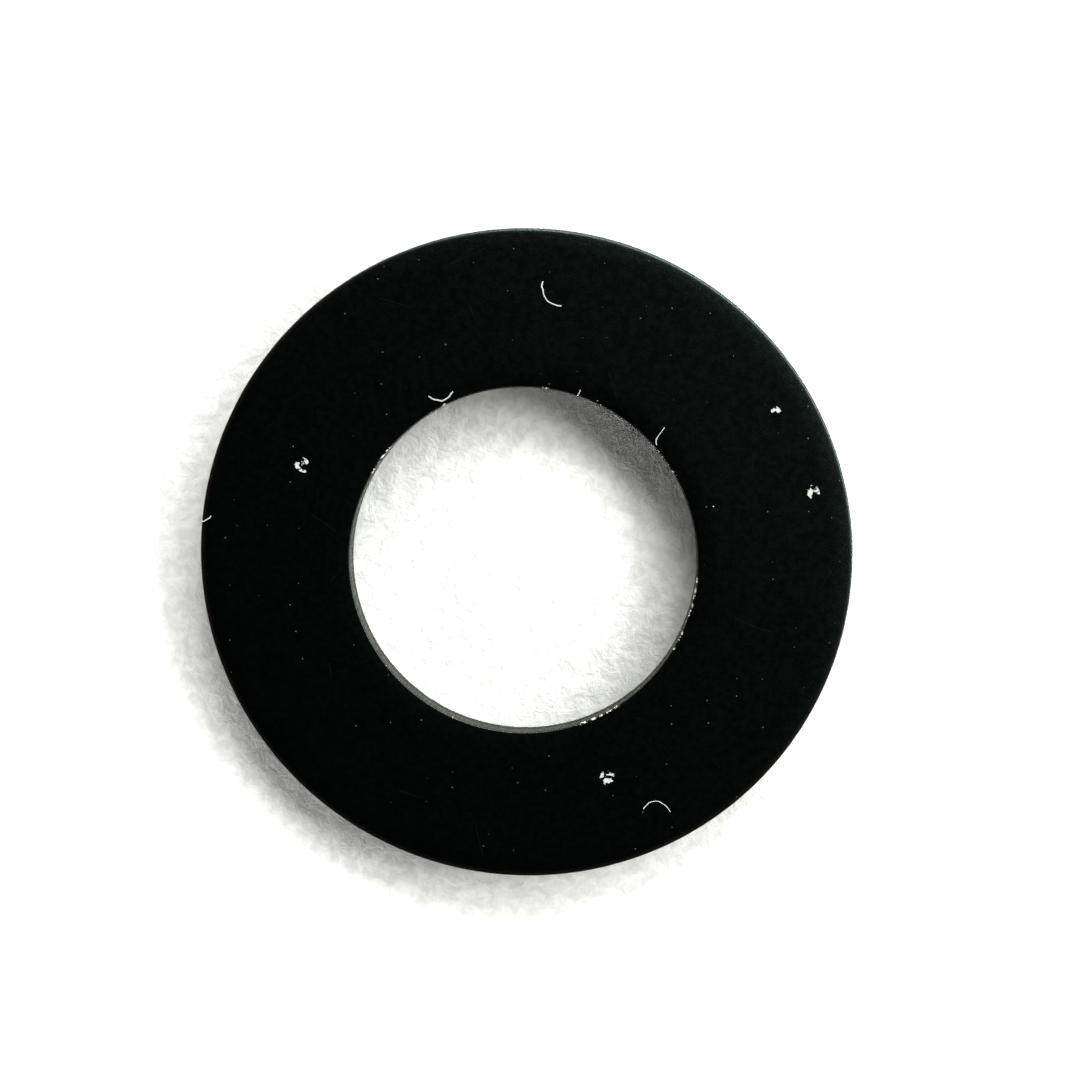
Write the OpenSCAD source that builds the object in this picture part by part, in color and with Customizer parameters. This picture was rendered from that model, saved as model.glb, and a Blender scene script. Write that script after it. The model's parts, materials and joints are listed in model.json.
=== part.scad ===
// Flat washer for an M6 screw, stamped from thin black sheet.
// Units are millimetres. The origin is the centre of the hole on the underside, and +Z goes up
// through the face whose edges are rolled down by the punch. The section is a ring turned about Z.

/* [Washer] */
// Outside diameter
outer_d = 12; // [10:0.1:16]
// Diameter of the hole that the screw passes through
bore_d = 6.4; // [6.1:0.05:7]
// Thickness of the sheet between its two flat faces
thickness = 0.5; // [0.35:0.05:1.6]

/* [Stamped edges] */
// Width of the margin that the punch rolls down, along both edges of the top face
die_roll_w = 0.42; // [0.2:0.02:0.6]
// How far that margin has dropped where it meets the wall
die_roll_drop = 0.04; // [0.02:0.01:0.08]
// Radius that blends the rolled margin into the wall
corner_r = 0.03; // [0.02:0.01:0.08]
// Radius of the tumbled edges of the underside
base_r = 0.03; // [0.02:0.01:0.08]

/* [Hidden] */
$fn = 128;
outer_r = outer_d / 2;
bore_r = bore_d / 2;
// The rolled margin is an arc that leaves the flat face tangentially
roll_r = (pow(die_roll_w, 2) + pow(die_roll_drop, 2)) / (2 * die_roll_drop);
roll_centre = [-die_roll_w, -roll_r];
// The corner arc touches the wall and the rolled margin from inside
corner_x = -corner_r;
corner_y = roll_centre.y + sqrt(pow(roll_r - corner_r, 2) - pow(corner_x - roll_centre.x, 2));
corner_centre = [corner_x, corner_y];
base_centre = [-base_r, base_r - thickness];
// Direction from the margin's centre to the point where both arcs meet
meeting_a = atan2(corner_y - roll_centre.y, corner_x - roll_centre.x);
// How far a cutter reaches past the arc that it leaves, as a multiple of the arc's radius
reach = 1.5;

function toward(a, d) = d * [cos(a), sin(a)];

// Everything outside a circle, between two directions seen from its centre
module beyond_arc(centre, r, from, to) {
    half = (to - from) / 2;
    far = reach * r;
    translate(centre)
        difference() {
            polygon([
                [0, 0],
                toward(from, far),
                toward(from + half, far / cos(half)),
                toward(to, far)
            ]);
            circle(r);
        }
}

// What the stamping takes off a square edge: the top of the wall is at the origin, the sheet lies to -X
module edge_waste() {
    beyond_arc(roll_centre, roll_r, 0, 90);
    beyond_arc(corner_centre, corner_r, 0, meeting_a);
    beyond_arc(base_centre, base_r, -90, 0);
}

module section() {
    difference() {
        translate([bore_r, 0])
            square([outer_r - bore_r, thickness]);
        translate([outer_r, thickness])
            edge_waste();
        translate([bore_r, thickness])
            mirror([1, 0])
                edge_waste();
    }
}

module washer() {
    color([0.04, 0.05, 0.05])
        rotate_extrude()
            section();
}

washer();
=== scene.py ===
"""A thin black flat washer for an M6 screw, stamped from sheet, lying on white paper.

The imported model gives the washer's size. The washer is turned again here as one closed mesh, with the
marks of the stamping: the margin that the punch rolled down, the smooth sheared band and the rough
break below it.
"""

import json
import math

import bmesh
import bpy
from mathutils import Matrix, Vector, noise


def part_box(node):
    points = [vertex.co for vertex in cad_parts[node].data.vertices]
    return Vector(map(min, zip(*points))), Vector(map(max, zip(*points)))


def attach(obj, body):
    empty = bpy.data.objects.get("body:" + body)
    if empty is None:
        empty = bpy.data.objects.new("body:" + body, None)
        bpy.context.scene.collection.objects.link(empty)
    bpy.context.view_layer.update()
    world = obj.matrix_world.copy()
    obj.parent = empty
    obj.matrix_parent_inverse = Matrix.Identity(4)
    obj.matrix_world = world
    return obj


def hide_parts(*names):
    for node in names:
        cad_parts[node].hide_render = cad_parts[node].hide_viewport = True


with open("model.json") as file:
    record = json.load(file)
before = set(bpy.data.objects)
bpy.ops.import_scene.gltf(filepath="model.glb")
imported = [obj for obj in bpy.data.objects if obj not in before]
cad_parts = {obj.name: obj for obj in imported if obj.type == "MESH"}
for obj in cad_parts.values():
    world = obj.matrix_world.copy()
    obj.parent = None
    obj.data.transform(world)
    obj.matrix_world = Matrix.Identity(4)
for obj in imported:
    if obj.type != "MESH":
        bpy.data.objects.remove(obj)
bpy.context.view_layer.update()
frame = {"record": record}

MM = 0.001

# ---------------------------------------------------------------------------------------- driving sizes
washer_low, washer_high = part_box("washer")
OUTER_R = (washer_high.x - washer_low.x) / 2
THICKNESS = washer_high.z - washer_low.z
BORE_R = next(m for m in frame["record"]["mounts"] if m["name"] == "bore")["dims"]["r_mm"] * MM

# Stamped edges, as in the part's source
DIE_ROLL_W = 0.42 * MM
DIE_ROLL_DROP = 0.04 * MM
CORNER_R = 0.03 * MM
# The blanking punch sat a little off centre, so the outside corner is rounder on one side
RIM_CORNER_EXTRA = 0.05 * MM
RIM_CORNER_AZIMUTH = 80
BASE_R = 0.03 * MM

# The wall below the corner: a smooth sheared band, then the break
SHEARED_SHARE = 0.45
BREAK_STEP = 0.006 * MM
BREAK_TAPER = 0.012 * MM
BREAK_DEPTH = 0.010 * MM
BREAK_GRAIN = 0.055 * MM
FINE_BREAK_GRAIN = BREAK_GRAIN / 2.6
FINE_BREAK_SHARE = 0.35
SHEAR_LINE_WANDER = 0.035 * MM
SHEAR_LINE_LENGTH = 0.5 * MM
FACE_WAVE = 0.0012 * MM
FACE_WAVE_LENGTH = 1.1 * MM

# Seeds of the mesh's noise. On the walls the bore takes the number below, the rim the number above
SHEAR_LINE_SEED = 3
BREAK_SEED = 7
FINE_BREAK_SEED = 11
FACE_SEED = 21

# Steps of the mesh
STEPS_ROUND = 960
ARC_STEPS = 6
ROLL_STEPS = 8
BAND_STEPS = 4
BREAK_STEPS = 7
FACE_STEPS = 16


# ---------------------------------------------------------------------------------------- small helpers
def direction(azimuth, elevation):
    """Unit vector. Azimuth is counted from +X towards +Y, elevation from the paper, both in degrees."""
    a, e = math.radians(azimuth), math.radians(elevation)
    return Vector((math.cos(a) * math.cos(e), math.sin(a) * math.cos(e), math.sin(e)))


def smooth_noise(point, grain, seed):
    """Noise from about -1 to 1 that changes over the distance grain."""
    return noise.noise(Vector(point) / grain + Vector((seed * 17.3, seed * 5.1, seed * 9.7)))


# ---------------------------------------------------------------------------------------- the washer's mesh
def arc(centre, radius, start, end, steps):
    """Points of an arc in the (r, z) plane, both ends included, angles in degrees."""
    angles = [math.radians(start + (end - start) * i / steps) for i in range(steps + 1)]
    return [(centre[0] + radius * math.cos(a), centre[1] + radius * math.sin(a)) for a in angles]


def edge_outline(corner_r):
    """The stamped edge from the flat top face round to the flat underside, as (out, z, zone) points.

    out is the distance beyond the wall, so the sheet is at negative out. The zone says what the point
    belongs to: "roll", "band" or "break".
    """
    roll_r = (DIE_ROLL_W**2 + DIE_ROLL_DROP**2) / (2 * DIE_ROLL_DROP)
    roll_centre = (-DIE_ROLL_W, THICKNESS - roll_r)
    corner_x = -corner_r
    rise = math.sqrt((roll_r - corner_r) ** 2 - (corner_x - roll_centre[0]) ** 2)
    corner_centre = (corner_x, roll_centre[1] + rise)
    meeting = math.degrees(math.atan2(rise, corner_x - roll_centre[0]))
    base_centre = (-BASE_R, BASE_R)

    roll = arc(roll_centre, roll_r, 90, meeting, ROLL_STEPS)
    corner = arc(corner_centre, corner_r, meeting, 0, ARC_STEPS)[1:]
    base = arc(base_centre, BASE_R, 0, -90, ARC_STEPS)
    wall_top, wall_low = corner_centre[1], base_centre[1]
    line = wall_top + (wall_low - wall_top) * SHEARED_SHARE
    band = [(0, wall_top + (line - wall_top) * i / BAND_STEPS) for i in range(1, BAND_STEPS + 1)]
    broken = [(0, line + (wall_low - line) * i / BREAK_STEPS) for i in range(1, BREAK_STEPS + 1)]
    return (
        [(x, z, "roll") for x, z in roll + corner]
        + [(x, z, "band") for x, z in band]
        + [(x, z, "break") for x, z in broken + base[1:]]
    )


def rim_corner_r(angle):
    facing = 0.5 + 0.5 * math.cos(angle - math.radians(RIM_CORNER_AZIMUTH))
    return CORNER_R + RIM_CORNER_EXTRA * facing**2


def ring_outline(angle):
    """The closed section of the ring, as (r, z, zone, way) points, starting on the top face near the bore.

    The way is 1 where the wall faces out, -1 where it faces the bore and 0 on the flat faces.
    """
    outer = [(OUTER_R + x, z, zone, 1) for x, z, zone in edge_outline(rim_corner_r(angle))]
    bore = [(BORE_R - x, z, zone, -1) for x, z, zone in edge_outline(CORNER_R)]
    top_from, top_to = bore[0][0], outer[0][0]
    low_from, low_to = outer[-1][0], bore[-1][0]
    inner_steps = range(1, FACE_STEPS)
    top = [(top_from + (top_to - top_from) * i / FACE_STEPS, THICKNESS, "face", 0) for i in inner_steps]
    low = [(low_from + (low_to - low_from) * i / FACE_STEPS, 0.0, "face", 0) for i in inner_steps]
    return top + outer + low + bore[::-1]


def stamped(r, z, zone, way, angle):
    """Where a point of the section lies once the stamping has marked it, all of it inside the plain ring."""
    at = (r * math.cos(angle), r * math.sin(angle), z)
    if zone in ("band", "break"):
        wall_top = THICKNESS - DIE_ROLL_DROP - (rim_corner_r(angle) if way > 0 else CORNER_R)
        share = min(1.0, max(0.0, (wall_top - z) / (wall_top - BASE_R)))
        wave = smooth_noise((at[0], at[1], 0.0), SHEAR_LINE_LENGTH, SHEAR_LINE_SEED + way)
        wander = SHEAR_LINE_WANDER * wave
        if zone == "band":
            z += wander * share / SHEARED_SHARE
        else:
            depth = (share - SHEARED_SHARE) / (1 - SHEARED_SHARE)
            z += wander * max(0.0, 1 - depth) if z > BASE_R else 0.0
            coarse = 0.5 + 0.5 * smooth_noise(at, BREAK_GRAIN, BREAK_SEED + way)
            fine = 0.5 + 0.5 * smooth_noise(at, FINE_BREAK_GRAIN, FINE_BREAK_SEED + way)
            rough = (1 - FINE_BREAK_SHARE) * coarse + FINE_BREAK_SHARE * fine
            bite = BREAK_STEP + BREAK_TAPER * max(0.0, depth) + BREAK_DEPTH * rough
            r -= way * bite
    if zone in ("face", "roll"):
        wave = smooth_noise((at[0], at[1], 0.0), FACE_WAVE_LENGTH, FACE_SEED)
        dip = FACE_WAVE * (0.5 + 0.5 * wave)
        z += -dip if z > THICKNESS / 2 else dip
    return r * math.cos(angle), r * math.sin(angle), z


def build_washer():
    """Turns the section round the axis into one closed mesh."""
    points = []
    for k in range(STEPS_ROUND):
        angle = 2 * math.pi * k / STEPS_ROUND
        points += [stamped(*place, angle) for place in ring_outline(angle)]
    rows = len(points) // STEPS_ROUND
    faces = []
    for k in range(STEPS_ROUND):
        here, there = k * rows, (k + 1) % STEPS_ROUND * rows
        for i in range(rows):
            j = (i + 1) % rows
            faces.append((here + i, here + j, there + j, there + i))
    mesh = bpy.data.meshes.new("flat_washer")
    mesh.from_pydata(points, [], faces)
    mesh.validate()
    work = bmesh.new()
    work.from_mesh(mesh)
    bmesh.ops.recalc_face_normals(work, faces=work.faces)
    work.to_mesh(mesh)
    work.free()
    mesh.polygons.foreach_set("use_smooth", [True] * len(mesh.polygons))
    mesh.update()
    washer = bpy.data.objects.new("flat_washer", mesh)
    bpy.context.scene.collection.objects.link(washer)
    return washer


# ---------------------------------------------------------------------------------------- materials
# Colours, as linear red, green, blue and alpha
FACE_BLACK = (0.0002, 0.0003, 0.0003, 1)
WALL_BLACK = (0.011, 0.0075, 0.0035, 1)
# Painted sheen: a lighter, reddish black on the outer corner that stands in for the light the rounded corner
# reflects
RIM_SHEEN_BLACK = (0.008, 0.0055, 0.005, 1)
SCUFF_BLACK = (0.012, 0.014, 0.014, 1)
BARE_STEEL = (0.42, 0.41, 0.36, 1)
DUST_WHITE = (0.50, 0.51, 0.47, 1)
COOL_TINT = (0.68, 1, 0.94, 1)
PAPER_DARK = (0.77, 0.775, 0.745, 1)
PAPER_LIGHT = (0.91, 0.915, 0.88, 1)

# Roughness of the black finish. Pairs are the lowest and highest that its pattern reaches
FACE_GLOSS = (0.34, 0.41)
BAND_GLOSS = (0.26, 0.42)
BREAK_GLOSS = 0.62
WORN_GLOSS = 0.7

# Scales of the noise patterns, per metre
MOTTLE_SCALE = 9000
GRAIN_SCALE = 34000
DRAG_SCALE = 26000
DRAG_STRETCH = 0.12
BAND_EDGE_SCALE = 2600
RUBBED_PATCH_SCALE = 900
RUBBED_SPOT_SCALE = 11000
FLAKE_SCALE = 7000
FELT_SCALE = 3600

# Heights of the bumps
GRAIN_DEPTH = 0.004 * MM
DRAG_SHARE = 0.8
FELT_DEPTH = 0.045 * MM

# Where the finish changes. Dust lies above the two heights, and a wall's finish and the painted sheen, a
# lighter colour on the rim's corner, reach in from the wall by the distances given, fading between the first
# and the second
UPPER_PART = (0.6 * THICKNESS, 0.7 * THICKNESS)
WALL_REACH = (0.012 * MM, 0.022 * MM)
RIM_SHEEN_REACH = (0.05 * MM, 0.10 * MM)
BAND_EDGE_UNEVEN = 0.12 * MM
BAND_EDGE_SOFT = 0.012 * MM

# The rubbed strip along the bore's upper edge: its extent, and the part of the pattern that shows
RUBBED_DOWN = 0.05 * MM
RUBBED_UP = 0.012 * MM
RUBBED_SOFT = 0.004 * MM
RUBBED_REACH = (0.020 * MM, 0.028 * MM)
RUBBED_FROM = (0.345, 0.37)

# Flakes stay this far from the two edges of the face, and show where their pattern is above the two values
FLAKE_MARGIN = 0.3 * MM
FLAKE_MARGIN_SOFT = 0.05 * MM
FLAKE_FROM = (0.49, 0.54)

# How strongly the finest dust and the scuffs cover the black
FINE_DUST_STRENGTH = 0.22
SCUFF_STRENGTH = 0.5


class Nodes:
    """A material's node tree, with short names for the nodes that are used here."""

    def __init__(self, name):
        self.material = bpy.data.materials.new(name)
        self.material.use_nodes = True
        self.tree = self.material.node_tree
        self.shader = self.tree.nodes["Principled BSDF"]

    def add(self, kind, **settings):
        node = self.tree.nodes.new(kind)
        for key, value in settings.items():
            setattr(node, key, value)
        return node

    def link(self, source, target):
        if hasattr(source, "is_output"):
            self.tree.links.new(source, target)
        else:
            target.default_value = source

    def math(self, operation, a, b=0.0):
        node = self.add("ShaderNodeMath", operation=operation)
        for socket, value in zip(node.inputs, (a, b)):
            self.link(value, socket)
        return node.outputs[0]

    def remap(self, value, low, high, to_low=0.0, to_high=1.0):
        node = self.add("ShaderNodeMapRange", interpolation_type="SMOOTHSTEP")
        for socket, given in zip(node.inputs, (value, low, high, to_low, to_high)):
            self.link(given, socket)
        return node.outputs[0]

    def noise(self, where, scale, detail=3.0, roughness=0.5):
        node = self.add("ShaderNodeTexNoise")
        self.link(where, node.inputs["Vector"])
        node.inputs["Scale"].default_value = scale
        node.inputs["Detail"].default_value = detail
        node.inputs["Roughness"].default_value = roughness
        return node.outputs["Fac"]

    def mix(self, share, a, b):
        node = self.add("ShaderNodeMix", data_type="RGBA")
        self.link(share, node.inputs[0])
        self.link(a, node.inputs[6])
        self.link(b, node.inputs[7])
        return node.outputs[2]

    def blend(self, share, a, b):
        """From the number a to the number b."""
        node = self.add("ShaderNodeMix", data_type="FLOAT")
        for place, value in ((0, share), (2, a), (3, b)):
            self.link(value, node.inputs[place])
        return node.outputs[0]

    def vector(self, operation, a, b=(0, 0, 0)):
        node = self.add("ShaderNodeVectorMath", operation=operation)
        self.link(a, node.inputs[0])
        self.link(b, node.inputs[1])
        return node.outputs["Value" if operation == "LENGTH" else "Vector"]

    def split(self, vector):
        node = self.add("ShaderNodeSeparateXYZ")
        self.link(vector, node.inputs[0])
        return node.outputs

    def join(self, x, y, z=0.0):
        node = self.add("ShaderNodeCombineXYZ")
        for socket, value in zip(node.inputs, (x, y, z)):
            self.link(value, socket)
        return node.outputs[0]

    def within(self, value, low, high, soft):
        """1 between low and high, 0 outside, with soft ends."""
        rise = self.remap(value, low - soft, low + soft)
        fall = self.remap(value, high - soft, high + soft, 1.0, 0.0)
        return self.math("MULTIPLY", rise, fall)

    def scattered(self, where, spacing, seed):
        """One place per cell of about that spacing: the way from it, and the cell's three random numbers."""
        cells = self.add("ShaderNodeTexVoronoi", voronoi_dimensions="2D", feature="F1")
        shifted = self.vector("ADD", where, (seed * 0.31, seed * 0.17, 0))
        self.link(shifted, cells.inputs["Vector"])
        cells.inputs["Scale"].default_value = 1 / spacing
        away = self.vector("SUBTRACT", shifted, cells.outputs["Position"])
        return away, self.split(cells.outputs["Color"])


def stray(n, flat, wobble):
    """The same place moved by up to about half the wobble, so that shapes drawn there turn out irregular."""
    warp = n.add("ShaderNodeTexNoise")
    n.link(flat, warp.inputs["Vector"])
    warp.inputs["Scale"].default_value = 0.5 / wobble
    sway = n.vector("SUBTRACT", warp.outputs["Color"], (0.5, 0.5, 0.5))
    return n.vector("ADD", flat, n.vector("MULTIPLY", sway, (wobble, wobble, 0)))


def specks(n, flat, spacing, share, smallest, largest, seed):
    """Round specks of dust. A share of the cells holds one."""
    away, chance = n.scattered(flat, spacing, seed)
    radius = n.remap(chance[1], 0.0, 1.0, smallest, largest)
    near = n.math("LESS_THAN", n.vector("LENGTH", away), radius)
    return n.math("MULTIPLY", near, n.math("LESS_THAN", chance[0], share))


def hairs(n, flat, spacing, share, bend_r, length, width, seed):
    """Short curved lines. A share of the cells holds one, turned a random way."""
    away, chance = n.scattered(flat, spacing, seed)
    turn = n.math("MULTIPLY", chance[1], 2 * math.pi)
    centre = n.join(
        n.math("MULTIPLY", n.math("COSINE", turn), bend_r),
        n.math("MULTIPLY", n.math("SINE", turn), bend_r),
    )
    off_line = n.math("SUBTRACT", n.vector("LENGTH", n.vector("SUBTRACT", away, centre)), bend_r)
    on_line = n.math("LESS_THAN", n.math("ABSOLUTE", off_line), width / 2)
    reach = n.math("MULTIPLY", n.math("ADD", chance[2], 0.5), length / 2)
    on_length = n.math("LESS_THAN", n.vector("LENGTH", away), reach)
    there = n.math("MULTIPLY", on_line, on_length)
    return n.math("MULTIPLY", there, n.math("LESS_THAN", chance[0], share))


def dust(n, flat, r, up):
    """Specks, lint and flakes on the upper face, from 0 to 1."""
    fine = specks(n, flat, spacing=0.58 * MM, share=0.42, smallest=0.006 * MM, largest=0.014 * MM, seed=1)
    fine = n.math("MULTIPLY", fine, FINE_DUST_STRENGTH)
    coarse = specks(n, flat, spacing=2.3 * MM, share=0.20, smallest=0.010 * MM, largest=0.020 * MM, seed=2)
    lint = hairs(
        n, stray(n, flat, 0.26 * MM), spacing=2.1 * MM, share=0.26,
        bend_r=0.32 * MM, length=0.55 * MM, width=0.022 * MM, seed=3,
    )
    flakes = specks(
        n, stray(n, flat, 0.16 * MM), spacing=2.9 * MM, share=0.42,
        smallest=0.090 * MM, largest=0.160 * MM, seed=5,
    )
    torn = n.remap(n.noise(flat, FLAKE_SCALE, 3.0, 0.6), *FLAKE_FROM)
    inland = n.within(r, BORE_R + FLAKE_MARGIN, OUTER_R - FLAKE_MARGIN, FLAKE_MARGIN_SOFT)
    flakes = n.math("MULTIPLY", n.math("MULTIPLY", flakes, torn), inland)
    any_of = n.math("MAXIMUM", n.math("MAXIMUM", fine, coarse), n.math("MAXIMUM", lint, flakes))
    return n.math("MULTIPLY", any_of, up)


def black_finish():
    """Satin black on stamped steel: fine grain, a cool tint, lighter walls, a painted sheen on the outer
    corner, rubbed edges and dust.
    """
    n = Nodes("black_finish")
    where = n.add("ShaderNodeTexCoord").outputs["Object"]
    x, y, z = n.split(where)
    flat = n.join(x, y)
    r = n.vector("LENGTH", flat)
    up = n.remap(z, *UPPER_PART)

    # The walls, where the finish is thin over the sheared band and rough over the break
    in_bore = n.remap(r, BORE_R + WALL_REACH[0], BORE_R + WALL_REACH[1], 1.0, 0.0)
    on_rim = n.remap(r, OUTER_R - WALL_REACH[1], OUTER_R - WALL_REACH[0])
    wall = n.math("MAXIMUM", in_bore, on_rim)
    line = BASE_R + (THICKNESS - DIE_ROLL_DROP - CORNER_R - BASE_R) * (1 - SHEARED_SHARE)
    uneven = n.math("SUBTRACT", n.noise(where, BAND_EDGE_SCALE, 2.0), 0.5)
    uneven = n.math("MULTIPLY", uneven, BAND_EDGE_UNEVEN)
    band = n.remap(n.math("ADD", z, uneven), line - BAND_EDGE_SOFT, line + BAND_EDGE_SOFT)
    # Fine upright lines that the punch dragged down the band
    drag = n.noise(n.vector("MULTIPLY", where, (1, 1, DRAG_STRETCH)), DRAG_SCALE, 2.0, 0.6)

    # Spots on the sharp edge of the bore where the finish has rubbed off
    edge_top = THICKNESS - DIE_ROLL_DROP
    edge_z = n.within(z, edge_top - RUBBED_DOWN, edge_top + RUBBED_UP, RUBBED_SOFT)
    edge_r = n.remap(r, BORE_R + RUBBED_REACH[0], BORE_R + RUBBED_REACH[1], 1.0, 0.0)
    patches = n.noise(flat, RUBBED_PATCH_SCALE, 1.0)
    spots = n.noise(where, RUBBED_SPOT_SCALE, 3.0, 0.7)
    patchy = n.remap(n.math("MULTIPLY", patches, spots), *RUBBED_FROM)
    rubbed = n.math("MULTIPLY", n.math("MULTIPLY", edge_z, edge_r), patchy)

    specked = dust(n, flat, r, up)
    scuffs = hairs(
        n, flat, spacing=1.3 * MM, share=0.20, bend_r=3.0 * MM, length=0.5 * MM, width=0.012 * MM, seed=4,
    )
    scuffed = n.math("MULTIPLY", n.math("MULTIPLY", scuffs, up), SCUFF_STRENGTH)

    # Painted sheen along the outer corner: a lighter colour in place of reflected light
    corner = n.math("MULTIPLY", n.remap(r, OUTER_R - RIM_SHEEN_REACH[1], OUTER_R - RIM_SHEEN_REACH[0]), up)
    colour = n.mix(wall, FACE_BLACK, WALL_BLACK)
    colour = n.mix(corner, colour, RIM_SHEEN_BLACK)
    colour = n.mix(scuffed, colour, SCUFF_BLACK)
    colour = n.mix(rubbed, colour, BARE_STEEL)
    colour = n.mix(specked, colour, DUST_WHITE)
    n.link(colour, n.shader.inputs["Base Color"])
    n.shader.inputs["Specular Tint"].default_value = COOL_TINT

    mottle = n.noise(where, MOTTLE_SCALE, 3.0, 0.6)
    face_rough = n.remap(mottle, 0.3, 0.7, *FACE_GLOSS)
    wall_rough = n.blend(band, BREAK_GLOSS, n.remap(drag, 0.35, 0.65, *BAND_GLOSS))
    rough = n.blend(wall, face_rough, wall_rough)
    rough = n.blend(n.math("MAXIMUM", rubbed, specked), rough, WORN_GLOSS)
    n.link(rough, n.shader.inputs["Roughness"])

    bump = n.add("ShaderNodeBump")
    bump.inputs["Strength"].default_value = 1.0
    bump.inputs["Distance"].default_value = GRAIN_DEPTH
    grain = n.noise(where, GRAIN_SCALE, 2.0, 0.5)
    n.link(n.blend(wall, grain, n.math("MULTIPLY", drag, DRAG_SHARE)), bump.inputs["Height"])
    n.link(bump.outputs[0], n.shader.inputs["Normal"])
    return n.material


def paper():
    """White paper with a faint felt."""
    n = Nodes("paper")
    where = n.add("ShaderNodeTexCoord").outputs["Object"]
    cloudy = n.add("ShaderNodeTexNoise")
    n.link(where, cloudy.inputs["Vector"])
    cloudy.inputs["Scale"].default_value = FELT_SCALE
    cloudy.inputs["Detail"].default_value = 6.0
    cloudy.inputs["Roughness"].default_value = 0.68
    cloudy.inputs["Distortion"].default_value = 0.35
    felt = cloudy.outputs["Fac"]
    shade = n.mix(n.remap(felt, 0.35, 0.65), PAPER_DARK, PAPER_LIGHT)
    n.link(shade, n.shader.inputs["Base Color"])
    n.shader.inputs["Roughness"].default_value = 0.9
    n.shader.inputs["Specular IOR Level"].default_value = 0.2
    bump = n.add("ShaderNodeBump")
    bump.inputs["Strength"].default_value = 0.5
    bump.inputs["Distance"].default_value = FELT_DEPTH
    n.link(felt, bump.inputs["Height"])
    n.link(bump.outputs[0], n.shader.inputs["Normal"])
    return n.material


# ---------------------------------------------------------------------------------------- the scene around it
FLOOR_SIDE = 0.6


def build_floor():
    half = FLOOR_SIDE / 2
    mesh = bpy.data.meshes.new("floor")
    corners = [(-half, -half, 0), (half, -half, 0), (half, half, 0), (-half, half, 0)]
    mesh.from_pydata(corners, [], [(0, 1, 2, 3)])
    floor = bpy.data.objects.new("floor", mesh)
    bpy.context.scene.collection.objects.link(floor)
    floor.data.materials.append(paper())


# The camera stands close over the washer, as for a close-up with a phone. The distance and the aim are
# in outer radii, the sensor and the lens in millimetres.
CAMERA_DISTANCE = 3.2
CAMERA_AZIMUTH = 65.4
CAMERA_OFF_AXIS = 8.38
AIM = (0.0548, 0.0712)
SENSOR = 36.0
LENS = 34.9
CLIP_START = 1 * MM


def build_camera():
    centre = Vector((0, 0, THICKNESS))
    place = centre + direction(CAMERA_AZIMUTH, 90 - CAMERA_OFF_AXIS) * CAMERA_DISTANCE * OUTER_R
    target = centre + Vector((*AIM, 0)) * OUTER_R
    back = (place - target).normalized()
    right = Vector((1, 0, 0))
    right = (right - right.dot(back) * back).normalized()
    up = back.cross(right)
    data = bpy.data.cameras.new("camera")
    data.sensor_width = SENSOR
    data.lens = LENS
    data.clip_start = CLIP_START
    camera = bpy.data.objects.new("camera", data)
    turn = Matrix((right, up, back)).transposed().to_4x4()
    camera.matrix_world = Matrix.Translation(place) @ turn
    bpy.context.scene.collection.objects.link(camera)
    bpy.context.scene.camera = camera


# Lights: low upright white panels a quarter of a metre away, and a faint ceiling. Each panel has a name,
# an azimuth, half of the azimuths that it covers, its lowest and highest elevation, and a brightness.
PANEL_DISTANCE = 0.25
WINDOW_PANELS = (
    ("window_right", 15, 31, 15, 26, 23),
    ("window_left", 75, 31, 15, 26, 23),
    ("window_top", 45, 45, 29, 40, 5),
    ("sill_right", 0, 45, 10, 15, 6.5),
    ("sill_left", 90, 45, 10, 15, 6.5),
)
ROOM_PANELS = (
    ("room_front", -45, 45, 2.5, 10, 16),
    ("room_right", 45, 45, 2.5, 10, 14),
    ("room_back", 135, 45, 2.5, 10, 14),
    ("room_left", 225, 45, 2.5, 10, 33),
)
CEILING_HEIGHT = 0.25
CEILING_SIDE = 0.5
CEILING_BRIGHTNESS = 0.14
BACKDROP_BRIGHTNESS = 0.75
VIEW_GAMMA = 0.8


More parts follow.
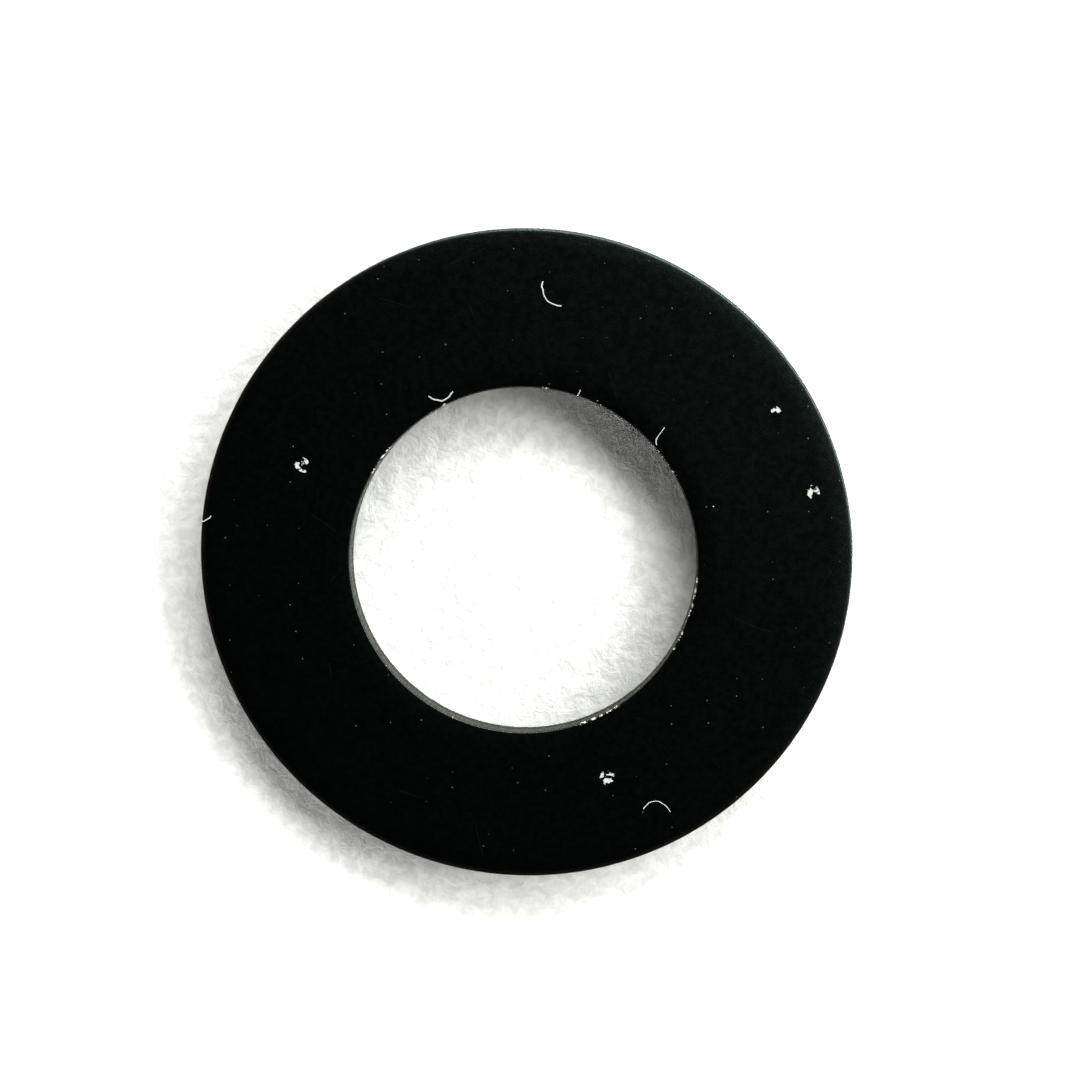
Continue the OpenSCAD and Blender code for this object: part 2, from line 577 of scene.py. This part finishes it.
def area_light(name, place, facing, width, height, brightness, mirrored):
    """A white rectangle, unseen by the camera. Mirrored says whether glossy surfaces reflect it."""
    data = bpy.data.lights.new(name, "AREA")
    data.shape = "RECTANGLE"
    data.size, data.size_y = width, height
    data.energy = brightness * math.pi * width * height
    light = bpy.data.objects.new(name, data)
    light.location = place
    light.rotation_mode = "QUATERNION"
    light.rotation_quaternion = (-facing).to_track_quat("Z", "Y")
    light.visible_camera = False
    light.visible_glossy = mirrored
    bpy.context.scene.collection.objects.link(light)


def light_panel(name, azimuth, half_angle, low, high, brightness, mirrored):
    """An upright panel that faces the washer."""
    bottom, top = (PANEL_DISTANCE * math.tan(math.radians(e)) for e in (low, high))
    width = 2 * PANEL_DISTANCE * math.tan(math.radians(half_angle))
    away = direction(azimuth, 0)
    place = away * PANEL_DISTANCE + Vector((0, 0, (top + bottom) / 2))
    area_light(name, place, -away, width, top - bottom, brightness, mirrored)


def build_light():
    for panel in WINDOW_PANELS:
        light_panel(*panel, mirrored=True)
    # The room's light fills the shadows and leaves no glare on the black face
    for panel in ROOM_PANELS:
        light_panel(*panel, mirrored=False)
    overhead = Vector((0, 0, CEILING_HEIGHT))
    down = Vector((0, 0, -1))
    area_light("ceiling", overhead, down, CEILING_SIDE, CEILING_SIDE, CEILING_BRIGHTNESS, mirrored=False)


def build_backdrop():
    """A pale surround that only the camera sees. The panels and the ceiling give all the light."""
    world = bpy.data.worlds.new("room")
    bpy.context.scene.world = world
    world.use_nodes = True
    background = world.node_tree.nodes["Background"]
    background.inputs["Color"].default_value = (1, 1, 1, 1)
    background.inputs["Strength"].default_value = BACKDROP_BRIGHTNESS
    seen_by = world.cycles_visibility
    seen_by.diffuse = seen_by.glossy = seen_by.transmission = seen_by.scatter = False
    bpy.context.scene.view_settings.view_transform = "Standard"
    bpy.context.scene.view_settings.gamma = VIEW_GAMMA


# ---------------------------------------------------------------------------------------- put together
build_camera()
build_floor()
build_light()
build_backdrop()

washer = build_washer()
washer.data.materials.append(black_finish())
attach(washer, "root")
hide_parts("washer")
